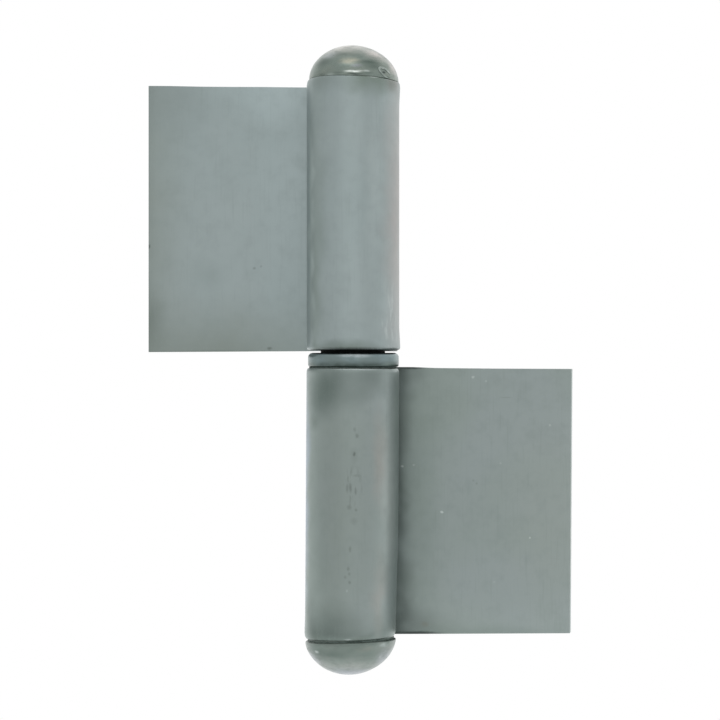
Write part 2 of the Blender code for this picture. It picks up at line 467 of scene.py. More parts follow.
def draw_in_ends(mesh, marks):
    """Round the outside of the barrel's ends, and weight every cut edge for the Bevel."""
    solid = bmesh.new()
    solid.from_mesh(mesh)
    ring_end = BARREL_TOP - marks["ring_draw"] * MM
    for vert in solid.verts:
        radius = vert.co.xy.length
        outside = BARREL_RADIUS - SKIN_DEPTH < radius < BARREL_RADIUS + SKIN_SLACK
        on_bend = vert.co.y > LEAF_FRONT - FRONT_SLACK and vert.co.x > -BEND_CLEAR * MM
        if on_bend or not outside:
            continue
        below_ring = (ring_end - vert.co.z) / MM
        above_foot = (vert.co.z - BARREL_FOOT) / MM - cap_end(marks, vert.co.x)
        drop = fall_off(*marks["ring_round"], below_ring)
        drop += fall_off(*marks["cap_round"], above_foot)
        at_ring, at_cap = marks["swell"]
        swollen = at_ring * max(0.0, 1.0 - below_ring / SWELL_REACH)
        swollen += at_cap * max(0.0, 1.0 - above_foot / SWELL_REACH)
        drop -= swollen * max(0.0, -vert.co.x / BARREL_RADIUS) ** 3
        tightest, reach = marks["tuck"]
        nearness = min(1.0, max(0.0, 1.0 - above_foot / reach))
        tucked = tightest * nearness * nearness * (3.0 - 2.0 * nearness)
        drop += tucked * max(0.0, vert.co.x / BARREL_RADIUS) ** 2
        if vert.co.y > 0 and vert.co.x < 0:
            drop *= min(1.0, max(0.0, -vert.co.x / MM - BEND_CLEAR) / BEND_BLEND)
        vert.co.xy = vert.co.xy * (1.0 - drop * MM / radius)
    weights = solid.edges.layers.float.new("bevel_weight_edge")
    for edge in solid.edges:
        if len(edge.link_faces) == 2 and edge.calc_face_angle() > CORNER:
            middle = (edge.verts[0].co + edge.verts[1].co) / 2
            at_cap = middle.z < BARREL_FOOT + CAP_ZONE and middle.xy.length < BARREL_RADIUS
            edge[weights] = marks["cap_break"] if at_cap else 1.0
    solid.to_mesh(mesh)
    solid.free()


def lean(mesh, degrees, shift):
    """Lean a finished mesh about the ring's end of the barrel, its foot towards -X."""
    pivot = Matrix.Translation((0.0, 0.0, BARREL_TOP))
    turn = Matrix.Rotation(math.radians(degrees), 4, "Y")
    aside = Matrix.Translation((shift * MM, 0.0, 0.0))
    mesh.transform(aside @ pivot @ turn @ pivot.inverted())


def rolled_leaf(name, marks, turned_over=False):
    """One strip with its thickness and its broken edges, in its place."""
    leaf = stand(name, curled_face(marks))
    wall = leaf.modifiers.new("strip", "SOLIDIFY")
    wall.thickness = SHEET
    wall.offset = -1.0
    wall.use_even_offset = True
    settle(leaf)
    draw_in_ends(leaf.data, marks)
    rounds = leaf.modifiers.new("cut_edges", "BEVEL")
    rounds.limit_method = "WEIGHT"
    rounds.width = EDGE_BREAK
    rounds.segments = 3
    flats = leaf.modifiers.new("flat_faces", "WEIGHTED_NORMAL")
    flats.keep_sharp = True
    settle(leaf)
    lean(leaf.data, marks["lean"], marks["shift"])
    if turned_over:
        leaf.data.transform(Matrix.Rotation(math.pi, 4, "Y"))
    print(name, triangles(leaf.data), "triangles")
    return leaf


frame_leaf = rolled_leaf("frame_leaf", FRAME_LEAF)
door_leaf = rolled_leaf("door_leaf", DOOR_LEAF, turned_over=True)

# %% [markdown]
# ## Turned pieces
# Pin, ring and caps come off a lathe, so each is one profile spun once round the pin's axis. A
# sphere cut in half would give the domes, but not their rims and spigots. Profiles are drawn as
# radius and height, arcs included, and the full spin merges its last step with its first.

# %% Lathe
TURN_STEPS = 144
SAME_POINT = 0.0005 * MM


def arc(centre_r, centre_z, radius, start, end, steps):
    """Points of an arc in the profile's plane, from one angle to the other, in degrees."""
    points = []
    for step in range(steps + 1):
        angle = math.radians(start + (end - start) * step / steps)
        points.append((centre_r + radius * math.cos(angle), centre_z + radius * math.sin(angle)))
    return points


def turned(name, profile, closed=False, turned_over=False):
    """Spin a profile once round the pin's axis and close its poles."""
    work = bmesh.new()
    verts = [work.verts.new((max(radius, 0.0), 0.0, height)) for radius, height in profile]
    edges = [work.edges.new(pair) for pair in zip(verts[:-1], verts[1:])]
    if closed:
        edges.append(work.edges.new((verts[-1], verts[0])))
    bmesh.ops.spin(
        work, geom=verts + edges, steps=TURN_STEPS, angle=2 * math.pi, use_merge=True, **PIN_AXIS,
    )
    bmesh.ops.remove_doubles(work, verts=work.verts, dist=SAME_POINT)
    bmesh.ops.recalc_face_normals(work, faces=work.faces)
    if turned_over:
        half_turn = Matrix.Rotation(math.pi, 3, "Y")
        bmesh.ops.rotate(work, verts=work.verts, cent=PIN_AXIS["cent"], matrix=half_turn)
    piece = stand(name, work)
    piece.data.shade_smooth()
    piece.data.set_sharp_from_angle(angle=SHARP)
    print(name, triangles(piece.data), "triangles")
    return piece


# %% [markdown]
# ## The pin
# A plain drawn rod, chamfered at both ends. Only the dark line in the groove above the ring shows
# of it while the door leaf is on, but it stands bare once the leaf is lifted off.

# %% Turn the pin
TIP_CHAMFER = 1.2 * MM
TIP_BREAK = 0.25 * MM
TIP_SOFT = TIP_BREAK * 0.4

# Each step of an end: how far in from the pin's side, and how far in from its end
END_OF_PIN = [
    (PIN_RADIUS, 0.0),
    (TIP_CHAMFER + TIP_BREAK, 0.0),
    (TIP_CHAMFER, TIP_SOFT),
    (TIP_SOFT, TIP_CHAMFER),
    (0.0, TIP_CHAMFER + TIP_BREAK),
]
pin_foot = [(PIN_RADIUS - inset, pin_low[2] + rise) for inset, rise in END_OF_PIN]
pin_tip = [(PIN_RADIUS - inset, pin_high[2] - rise) for inset, rise in reversed(END_OF_PIN)]
pin = turned("pin", pin_foot + pin_tip)

# %% [markdown]
# ## The ring
# A loose ring carries the door leaf. Its rims are rounded, the upper one more, so that it catches
# the light as a pale line, and its bore is lightly countersunk. A torus would be too round: the
# ring is a parted-off tube, so its outside is straight between the two rims.

# %% Turn the ring
RING_EDGE = RING_RADIUS + 0.07 * MM
UPPER_RIM, LOWER_RIM = 1.05 * MM, 0.5 * MM
RING_SINK = 0.3 * MM
RING_RISE = 0.40 * MM
RING_ASIDE = 0.12 * MM
ring_top = ring_high[2] + RING_RISE
ring_profile = arc(RING_EDGE - UPPER_RIM, ring_top - UPPER_RIM, UPPER_RIM, 90, 0, 10)
ring_profile += arc(RING_EDGE - LOWER_RIM, ring_low[2] + LOWER_RIM, LOWER_RIM, 0, -90, 8)
ring_profile += [
    (BORE_RADIUS + RING_SINK, ring_low[2]),
    (BORE_RADIUS, ring_low[2] + RING_SINK),
    (BORE_RADIUS, ring_top - RING_SINK),
    (BORE_RADIUS + RING_SINK, ring_top),
]
ring = turned("ring", ring_profile, closed=True)
ring.data.transform(Matrix.Translation((RING_ASIDE, 0.0, 0.0)))

# %% [markdown]
# ## Dark fills at the ring
# A thin dark film fills the seat under the ring and shows as a thin dark line between ring and
# barrel: it closes the seat, and its dark colour is painted shade for the groove between their
# rounded edges. Without it, daylight would show through the seat on both sides of the pin. A
# near-black collar round the pin above the ring is painted shade for the deep groove there.

# %% Lay the dark fills
FILM_EDGE, FILM_ROUND = 9.75 * MM, 0.1 * MM
FILM_BORE = BORE_RADIUS + 0.05 * MM
FILM_SINK = 0.02 * MM
FILM_FOOT, FILM_TOP = BARREL_TOP - FILM_SINK, ring_low[2] + FILM_SINK
COLLAR_EDGE, COLLAR_BORE = PIN_RADIUS + 0.14 * MM, PIN_RADIUS - 0.05 * MM
COLLAR_FOOT, COLLAR_TOP = ring_top - 0.5 * MM, 3.2 * MM

film_profile = [
    (FILM_BORE, FILM_FOOT),
    (FILM_EDGE - FILM_ROUND, FILM_FOOT),
    (FILM_EDGE, BARREL_TOP + FILM_ROUND),
    (FILM_EDGE - FILM_ROUND, FILM_TOP),
    (FILM_BORE, FILM_TOP),
]
seat_film = turned("ring_seat_film", film_profile, closed=True)
# The collar is painted shade in the groove above the ring.
collar_profile = [
    (COLLAR_BORE, COLLAR_FOOT),
    (COLLAR_EDGE, COLLAR_FOOT + FILM_ROUND),
    (COLLAR_EDGE, COLLAR_TOP - 2.0 * FILM_ROUND),
    (COLLAR_BORE, COLLAR_TOP),
]
collar = turned("groove_shade_collar", collar_profile, closed=True)

# %% [markdown]
# ## The domed caps
# Each cap is turned from bar: a dome nearly as wide as the barrel, a narrow broken rim, a flat
# underside that seats on the barrel's end, and a spigot pressed into the bore. A slice of a ball
# comes close, but the real domes are fuller in the shoulder and a little steeper at the rim, so
# the height is raised to a power a little under two. The lower cap isn't pressed in as far as
# the upper one, so it shows a short neck under its rim. Both sit a hair off the barrel's axis,
# and their rims follow the barrel's uneven end.

# %% Turn the caps
SPIGOT_CHAMFER = 0.6 * MM
DOME_STEPS, RIM_STEPS = 44, 5
AT_SEAT = -0.001
FOLLOW_FADE = 1.5
LOWER_CAP_SHIFT = -0.10
UPPER_DOME = {
    "seat": 62.31, "neck": (0.0, 0.02), "rim": 0.08, "crown": 69.83, "radius": 9.93,
    "fullness": 1.74, "aside": (0.23, -0.24), "tilt": -0.25, "sag": 0.55,
}
LOWER_DOME = {
    "seat": 61.56, "neck": (0.28, 0.53), "rim": 0.22, "crown": 69.86, "radius": 10.03,
    "fullness": 1.70, "aside": (0.03, -0.50), "tilt": 0.50, "sag": 0.0,
}


def dome_radius(marks, height):
    """Radius of a dome at a height, both in metres; below its rim it keeps its full radius."""
    foot = (marks["seat"] + marks["neck"][1] + marks["rim"]) * MM
    rise = max(0.0, (height - foot) / (marks["crown"] * MM - foot))
    return marks["radius"] * MM * math.sqrt(max(0.0, 1.0 - rise ** marks["fullness"]))


def cap_profile(marks):
    """Dome, rim, neck, underside and spigot as radius and height, from the crown down."""
    seat, crown, radius, rim = (marks[key] * MM for key in ("seat", "crown", "radius", "rim"))
    neck_depth, neck_height = (value * MM for value in marks["neck"])
    foot = seat + neck_height + rim
    points = []
    for step in range(DOME_STEPS):
        height = foot + (crown - foot) * math.cos(0.5 * math.pi * step / DOME_STEPS)
        points.append((dome_radius(marks, height), height))
    neck = radius - rim - neck_depth
    return points + arc(radius - rim, foot, rim, 0, -90, RIM_STEPS) + [
        (neck, seat + neck_height),
        (neck, seat),
        (PIN_RADIUS, seat),
        (PIN_RADIUS, SPIGOT_FOOT + SPIGOT_CHAMFER),
        (PIN_RADIUS - SPIGOT_CHAMFER, SPIGOT_FOOT),
        (0.0, SPIGOT_FOOT),
    ]


def fit_dome(mesh, marks, side):
    """Set the dome aside, and let its rim follow the barrel's uneven end."""
    at_seat, at_crown = marks["aside"]
    for vert in mesh.vertices:
        rise = (abs(vert.co.z) - marks["seat"] * MM) / ((marks["crown"] - marks["seat"]) * MM)
        if rise > AT_SEAT:
            back = uneven(marks["tilt"], marks["sag"], side * vert.co.x)
            settled = abs(vert.co.z) - back * max(0.0, 1.0 - FOLLOW_FADE * rise) ** 2 * MM
            vert.co.z = math.copysign(settled, vert.co.z)
            vert.co.x += (at_seat + (at_crown - at_seat) * rise) * MM


upper_cap = turned("upper_cap", cap_profile(UPPER_DOME))
fit_dome(upper_cap.data, UPPER_DOME, -1.0)
lower_cap = turned("lower_cap", cap_profile(LOWER_DOME), turned_over=True)
fit_dome(lower_cap.data, LOWER_DOME, 1.0)
lean(lower_cap.data, FRAME_LEAF["lean"], LOWER_CAP_SHIFT)

# %% [markdown]
# ## A dark fill in the lower seam
# The lower cap stands off a little, and a dark ring fills round its neck, so the seam is a dark
# line with no daylight in it. It is a ring of its own, because a line painted on the dome wouldn't
# lie in the seam when the hinge is seen from below.

# %% Fill the seam
SEAM_FILL_EDGE = 9.58 * MM
SEAM_FILL_FOOT = (LOWER_DOME["seat"] + 0.02) * MM
SEAM_FILL_HEIGHT = 0.52 * MM
SEAM_FILL_ROUND = 0.12 * MM
seam_profile = [
    (PIN_RADIUS, SEAM_FILL_FOOT),
    (SEAM_FILL_EDGE - SEAM_FILL_ROUND, SEAM_FILL_FOOT),
    (SEAM_FILL_EDGE, SEAM_FILL_FOOT + SEAM_FILL_ROUND),
    (SEAM_FILL_EDGE, SEAM_FILL_FOOT + SEAM_FILL_HEIGHT - SEAM_FILL_ROUND),
    (SEAM_FILL_EDGE - SEAM_FILL_ROUND, SEAM_FILL_FOOT + SEAM_FILL_HEIGHT),
    (PIN_RADIUS, SEAM_FILL_FOOT + SEAM_FILL_HEIGHT),
]
seam_dark_fill = turned("seam_dark_fill", seam_profile, closed=True, turned_over=True)
fit_dome(seam_dark_fill.data, LOWER_DOME, 1.0)
lean(seam_dark_fill.data, FRAME_LEAF["lean"], LOWER_CAP_SHIFT)

# %% [markdown]
# ## A curl of swarf
# Pressing the upper cap in has shaved a curl of steel off its rim, and it lies flat on the dome,
# to the right of the middle. A small circle is swept once round and wrapped on the dome, since
# a curl that only stood near it would throw a shadow that the photograph doesn't show.

# %% Shave the curl
CURL_REACH = (1.75 * MM, 0.84 * MM)
CURL_WIRE = 0.29 * MM
CURL_TILT = math.radians(-27)
CURL_TURN = math.radians(335)
CURL_PLACE = (math.radians(-35.8), 63.17 * MM)
CURL_THIN, CURL_SWELL, CURL_LIFT = 0.35, 0.6, 0.05
WIRE_STEPS, SWEEP_STEPS, SWEEP_RADIUS = 10, 48, 6.0

swarf = bmesh.new()
bmesh.ops.create_circle(
    swarf, segments=WIRE_STEPS, radius=1.0,
    matrix=Matrix.Translation((SWEEP_RADIUS, 0.0, 0.0)) @ Matrix.Rotation(math.pi / 2, 4, "X"),
)
bmesh.ops.spin(
    swarf, geom=swarf.verts[:] + swarf.edges[:], steps=SWEEP_STEPS, angle=CURL_TURN, **PIN_AXIS,
)
for vert in swarf.verts:
    around = math.atan2(vert.co.y, vert.co.x) % (2 * math.pi)
    hump = math.sin(math.pi * min(1.0, around / CURL_TURN)) ** CURL_SWELL
    wire = CURL_WIRE * (CURL_THIN + (1.0 - CURL_THIN) * hump)
    off_wire = wire * (vert.co.xy.length - SWEEP_RADIUS)
    along = (CURL_REACH[0] + off_wire) * math.cos(around)
    rise = (CURL_REACH[1] + off_wire) * math.sin(around)
    across = along * math.cos(CURL_TILT) - rise * math.sin(CURL_TILT)
    height = CURL_PLACE[1] + along * math.sin(CURL_TILT) + rise * math.cos(CURL_TILT)
    radius = dome_radius(UPPER_DOME, height) + wire * (vert.co.z + CURL_LIFT)
    angle = CURL_PLACE[0] + across / dome_radius(UPPER_DOME, CURL_PLACE[1])
    vert.co = (radius * math.cos(angle), radius * math.sin(angle), height)
open_ends = [edge for edge in swarf.edges if edge.is_boundary]
bmesh.ops.holes_fill(swarf, edges=open_ends, sides=0)
bmesh.ops.recalc_face_normals(swarf, faces=swarf.faces)
curl = stand("swarf_curl", swarf)
curl.data.shade_smooth()
print("swarf curl", triangles(curl.data), "triangles")

# %% [markdown]
# ## Pieces on their bodies
# Each detailed piece rides on the body that carries its solid, and takes that solid's place.

# %% Ride and replace
PLACES = [
    (frame_leaf, "frame_side", "lower_leaf", "frame_leaf_steel"),
    (pin, "frame_side", "hinge_pin", "pin_steel"),
    (lower_cap, "frame_side", "lower_end_cap", "lower_cap_steel"),
    (ring, "ring", "bearing_ring", "ring_steel"),
    (door_leaf, "door_side", "upper_leaf", "door_leaf_steel"),
    (upper_cap, "door_side", "upper_end_cap", "upper_cap_steel"),
]
for piece, body, node_name, slot_name in PLACES:
    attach(piece, body)
    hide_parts(node_name)
for film in (seat_film, collar, seam_dark_fill):
    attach(film, "frame_side")
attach(curl, "door_side")
print("pieces", [place[0].name for place in PLACES])

# %% [markdown]
# ## Tools for a finish
# Real steel is never one tone. A few small tools build every finish: noise whose cells have a
# real size in millimetres, a tint that follows a value, and soft patches at places on the object.
# Patches are ellipsoids in Object coordinates, so they stay on the steel in every pose, and a
# little noise bends their edges, because a drawn ellipse would look printed.

# %% Noise, tints and patches
def blank_finish(name):
    """A new material, its nodes, its shader, and the place on the object."""
    material = bpy.data.materials.new(name)
    material.use_nodes = True
    tree = material.node_tree
    where = add(tree, "TexCoord").outputs["Object"]
    return material, tree, tree.nodes["Principled BSDF"], where


def noise_at(tree, point, millimetres, detail=3.0, stretch=(1.0, 1.0, 1.0)):
    """Noise whose cells are about that many millimetres across on the object."""
    scaled = add(
        tree, "Mapping",
        {"Vector": point, "Scale": [value / (millimetres * MM) for value in stretch]},
    )
    cloud = add(
        tree, "TexNoise",
        {"Vector": scaled.outputs["Vector"], "Scale": 1.0, "Detail": detail, "Roughness": 0.55},
    )
    return cloud.outputs["Fac"]


def tint(tree, colour, value, low, high, most, tone, shape="LINEAR"):
    """Mix a colour in where a value is past low, by at most that share where it reaches high."""
    share = remap(tree, value, 0.0, most, low, high, shape)
    mixed = add(tree, "Mix", {"Factor": share, MIX_A: colour, MIX_B: tone}, data_type="RGBA")
    return mixed.outputs[MIX_COLOUR]


def wandering(tree, point, millimetres, amount):
    """The same place, pushed about by up to half that amount, so that edges wander."""
    cells = add(tree, "Mapping", {"Vector": point, "Scale": [1 / (millimetres * MM)] * 3})
    push = add(tree, "TexNoise", {"Vector": cells.outputs["Vector"], "Scale": 1.0, "Detail": 2.0})
    # Linear light adds twice its factor times how far the noise is from a half.
    moved = add(
        tree, "Mix", {"Factor": amount * MM / 2, MIX_A: point, MIX_B: push.outputs["Color"]},
        data_type="RGBA", blend_type="LINEAR_LIGHT",
    )
    return moved.outputs[MIX_COLOUR]


def from_middle(tree, point, centre, radii):
    """Distance from an ellipsoid's middle, 1 at its skin; centre and radii in millimetres."""
    local = add(tree, "Mapping", {
        "Vector": point,
        "Location": [-middle / radius for middle, radius in zip(centre, radii)],
        "Scale": [1.0 / (radius * MM) for radius in radii],
    })
    away = add(tree, "VectorMath", {0: local.outputs["Vector"]}, operation="LENGTH")
    return away.outputs["Value"]


def paint(tree, colour, point, patches, core=0.0):
    """Lay soft patches over a colour, each full inside its core and gone at its skin."""
    for tone, centre, radii, strength in patches:
        away = from_middle(tree, point, centre, radii)
        colour = tint(tree, colour, away, 1.0, core, strength, linear(tone), "SMOOTHSTEP")
    return colour


def surface(tree, shader, colour, value, smoothest, roughest):
    """Lead a colour to the shader, and a roughness that follows a value."""
    tree.links.new(colour, shader.inputs["Base Color"])
    rough = remap(tree, value, smoothest, roughest, 0.3, 0.7)
    tree.links.new(rough, shader.inputs["Roughness"])


def dress(piece, material):
    """Give a piece its one material."""
    piece.data.materials.clear()
    piece.data.materials.append(material)


print("finish tools ready")

# %% [markdown]
# ## Bare rolled steel
# Sheet steel as it leaves the roll is satin grey with a faint green cast from its oil. It has
# cloudy patches as wide as a finger, a fine mottle like drying water, and a grain along the way
# it was rolled. Paint would be evener and brighter, and polished steel would show sharp
# reflections. A thin oil and scale film scatters part of the light, so the metal isn't taken
# quite to 1, and its roughness wanders so that reflections break up.

# %% Rolled steel
RELIEF = 0.05 * MM


def rolled_steel(name, plain, cool, dull, seed, patches, marks, breakup):
    """Bare rolled steel: clouds, patches, mottle, grain and marks, with painted light and shade
    among the patches and marks.
    """
    material, tree, shader, where = blank_finish(name)
    point = add(tree, "Mapping", {"Vector": where, "Location": seed}).outputs["Vector"]
    clouds = noise_at(tree, point, 24.0, detail=2.0)
    mottle = noise_at(tree, point, 2.6, detail=4.0)
    speckle = noise_at(tree, point, 0.55, detail=2.0)
    grain = noise_at(tree, point, 0.45, detail=2.0, stretch=(1.0, 1.0, 0.05))
    flecks = noise_at(tree, point, 0.9, stretch=(1.0, 1.0, 0.28))

    soft = wandering(tree, where, 9.0, 6.0)
    colour = tint(tree, linear(plain), clouds, 0.35, 0.65, 1.0, linear(cool))
    colour = paint(tree, colour, soft, patches)
    colour = tint(tree, colour, mottle, 0.48, 0.80, 0.22, linear(dull))
    colour = tint(tree, colour, grain, 0.55, 0.80, 0.24, linear(dull))
    colour = tint(tree, colour, speckle, 0.58, 0.80, 0.14, linear(cool))

    tone, centre, radii, strength = breakup
    flecked = tint(tree, colour, flecks, 0.50, 0.64, 1.0, linear(tone))
    near = from_middle(tree, soft, centre, radii)
    colour = tint(tree, colour, near, 1.0, 0.0, strength, flecked, "SMOOTHSTEP")
    colour = paint(tree, colour, wandering(tree, where, 0.7, 0.3), marks, core=0.15)

    surface(tree, shader, colour, mottle, 0.40, 0.47)
    shader.inputs["Metallic"].default_value = 0.88
    bump = add(tree, "Bump", {"Height": grain, "Strength": 0.10, "Distance": RELIEF})
    tree.links.new(bump.outputs["Normal"], shader.inputs["Normal"])
    return material


# %% [markdown]
# ## The frame leaf's finish
# The lower barrel is a little darker than its leaf, most of all near the ring and near its foot,
# where that darkening is painted shade. A dark band in the crevice beside the barrel and along the
# leaf's top and bottom edges is painted shade, and the leaf is painted lighter towards its free
# edge. The barrel's right flank is painted lighter, and its left edge a pale blue, as painted
# reflection; a pale line on its upper rim and a glint on its foot are painted highlights. A broken
# dark streak runs down the front of the barrel, and the leaf has a few pale specks, two short
# scratches and a brown stain.

# %% Frame leaf
# Tones: painted shade that is also grime, a streak, pale specks that also serve as a painted glint,
# and rust
SHADE_AND_GRIME, STREAK, PALE_SPECK_AND_GLINT, RUST = "4A5350", "5F6763", "C9D1D0", "6F6A5C"
FACE, ROUND = LEAF_FRONT / MM, BARREL_RADIUS / MM
# A patch or mark is its tone, its middle and half sizes in millimetres, and its strength.
FRAME_PATCHES = [
    # Besides the barrel's own tone, these paint light and shade: darker barrel ends by the ring and
    # the cap, a lighter right flank, a pale blue left edge as painted reflection, a lighter free
    # edge of the leaf, and painted shade in the crevice and along the leaf's top and bottom edges.
    ("828C87", (-1, -10.3, -32), (9.5, 14, 40), 0.6),
    ("7E8985", (-8, -6.5, -36), (6, 8, 44), 0.95),
    ("5E6B66", (-5, -9, -6.5), (9, 9, 8.5), 0.85),
    ("727D7A", (4, -9, -4), (9, 8, 7), 0.85),
    ("55615C", (-3, -8, -64), (12, 10, 14), 1),
    ("56625E", (8.5, -5, -64.5), (7, 9, 11), 0.95),
    ("A4ACA9", (9, -4.5, -30), (3.6, 5, 30), 0.66),
    ("8E9BAA", (-10, -2, -28), (2.6, 6, 40), 0.85),
    ("94938E", (7.2, -7.3, -22), (2.6, 4, 15), 0.6),
    ("94938E", (7.2, -7.3, -52), (2.6, 4, 14), 0.5),
    ("959D9A", (46, FACE, -34), (20, 6, 40), 0.45),
    ("7D8A84", (14, FACE, -30), (7, 4, 50), 0.45),
    (SHADE_AND_GRIME, (8.6, FACE, -32), (3.8, 2.2, 60), 0.6),
    (SHADE_AND_GRIME, (10, FACE, -61.5), (16, 3, 9), 0.6),
    ("707D77", (30, FACE, -62.5), (34, 3, 5), 0.6),
    (SHADE_AND_GRIME, (9.5, FACE, -1.5), (9, 3, 4), 0.45),
    (SHADE_AND_GRIME, (11.5, FACE, -50), (3.2, 2, 8), 0.3),
    (SHADE_AND_GRIME, (11.5, FACE, -7.5), (3.2, 2, 3.5), 0.2),
    ("6F7A77", (2.2, -10, -8.6), (4.8, 3.5, 3.2), 0.5),
    ("6E7975", (9.6, -4.2, -2), (2.4, 3.2, 2), 0.7),
    ("A3ADAA", (9.9, -3.2, -11), (1.9, 3.2, 7), 0.5),
    ("A6AFAC", (9.9, -3.2, -30), (1.8, 3.2, 26), 0.42),
    ("5F6B66", (-7.4, -7.1, -13), (2.8, 3.2, 3.6), 0.45),
    ("6C7773", (-8.2, -6.2, -56.5), (3.7, 4.7, 10.5), 0.75),
    ("7B8683", (7.8, -6.8, -47), (2.6, 3.2, 7), 0.3),
    ("59645F", (-7.4, -7.3, -60.4), (3.8, 4, 5.2), 0.9),
    ("5A655F", (4, -9.3, -61.2), (7, 3.4, 1.6), 0.65),
    (SHADE_AND_GRIME, (11, FACE, -56), (3.6, 2, 7), 0.35),
    (STREAK, (1.8, -10.1, -20.6), (1.2, 1, 1.5), 0.25),
]

# Across, up, half width, half depth, half height and strength on the barrel
BARREL_STREAKS = [
    (1.9, -15.2, 0.5, 0.7, 0.75, 0.3),
    (2.4, -16.6, 0.5, 0.7, 0.75, 0.45),
    (1.8, -20.6, 0.48, 0.7, 0.7, 0.8),
    (2.3, -25.3, 1.2, 0.8, 0.4, 0.25),
    (0.3, -28.0, 0.42, 0.7, 1.6, 0.4),
    (1.0, -28.0, 0.42, 0.7, 1.6, 0.48),
    (2.1, -28.8, 0.42, 0.7, 1.1, 0.38),
    (3.4, -28.3, 0.36, 0.7, 1.4, 0.18),
    (0.7, -32.2, 0.65, 0.8, 0.8, 0.36),
    (2.2, -32.8, 0.42, 0.7, 0.48, 0.45),
    (1.8, -35.3, 1.2, 1.0, 1.1, 0.2),
    (0.9, -41.4, 0.5, 0.7, 1.0, 0.42),
    (0.5, -45.7, 0.5, 0.7, 0.7, 0.4),
    (0.7, -46.8, 0.46, 0.7, 0.56, 0.36),
    (-0.2, -47.5, 0.46, 0.7, 0.56, 0.3),
    (0.8, -48.7, 0.46, 0.7, 0.56, 0.45),
]
# Across, up, half width, half height and strength on the leaf
LEAF_SPECKS = [
    (26.0, -3.8, 0.5, 0.42, 0.36),
    (28.9, -4.7, 0.4, 0.36, 0.2),
    (43.2, -14.5, 0.45, 0.42, 0.24),
    (32.2, -23.0, 0.35, 0.35, 0.16),
    (10.1, -23.8, 0.5, 0.36, 0.55),
    (12.7, -23.5, 0.4, 0.3, 0.26),
    (19.0, -34.0, 0.55, 0.42, 0.62),
    (38.7, -39.6, 0.35, 0.36, 0.46),
    (30.7, -49.5, 0.35, 0.36, 0.1),
]
FRAME_MARKS = [
    (STREAK, (across, -math.sqrt(ROUND ** 2 - across ** 2), up), tuple(radii), strength)
    for across, up, *radii, strength in BARREL_STREAKS
]
FRAME_MARKS += [
    (PALE_SPECK_AND_GLINT, (across, FACE, up), (width, 0.6, height), strength)
    for across, up, width, height, strength in LEAF_SPECKS
]
FRAME_MARKS += [
    (PALE_SPECK_AND_GLINT, (0.2, -10.3, -50.5), (0.35, 0.6, 0.5), 0.14),
    (STREAK, (26.1, FACE, -26.9), (0.36, 0.6, 0.36), 0.28),
    (STREAK, (26.8, FACE, -27.6), (0.36, 0.6, 0.36), 0.28),
    (STREAK, (33.4, FACE, -8.3), (2, 0.6, 0.18), 0.22),
    (RUST, (15.2, FACE, -59.1), (1.3, 0.6, 0.95), 0.25),
    # Painted highlight on the barrel's upper rim, painted glint on its foot, and painted shade
    # where the leaf meets the ring and the cap and along its bottom edge.
    ("B9C3C1", (3.9, -9.4, -1.95), (9.5, 4.5, 0.42), 0.58),
    (PALE_SPECK_AND_GLINT, (0.4, -10.2, -61.2), (1.3, 0.8, 0.32), 0.26),
    ("2C3431", (12, FACE, -1.7), (4.2, 2, 0.55), 0.8),
    ("1F2724", (13.5, FACE, -61.1), (7.5, 2, 0.65), 0.75),
    ("7A8480", (34, FACE, -61.3), (22, 3, 0.5), 0.5),
]
frame_finish = rolled_steel(
    "rolled_steel_frame_leaf", "899490", "8D9796", "7B8682", (0.013, 0.002, 0.031),
    FRAME_PATCHES, FRAME_MARKS,
    breakup=(STREAK, (1.5, -10.2, -28.0), (2.4, 5.0, 7.5), 0.60),
)
dress(frame_leaf, frame_finish)
print("frame leaf", len(FRAME_PATCHES), "patches,", len(FRAME_MARKS), "marks")

# %% [markdown]
# ## The door leaf's finish
# The upper half is cooler and lighter. Its free edge and its lower edge are darker and more olive,
# and the leaf is painted lighter near the barrel and along its top. The barrel carries painted
# light
# and shade across its width: darkest along its left side, lighter in the middle, a warm neutral
# tint on its bright right edge as painted reflection, painted shade near its top and its foot, and
# a painted highlight on its top edge.

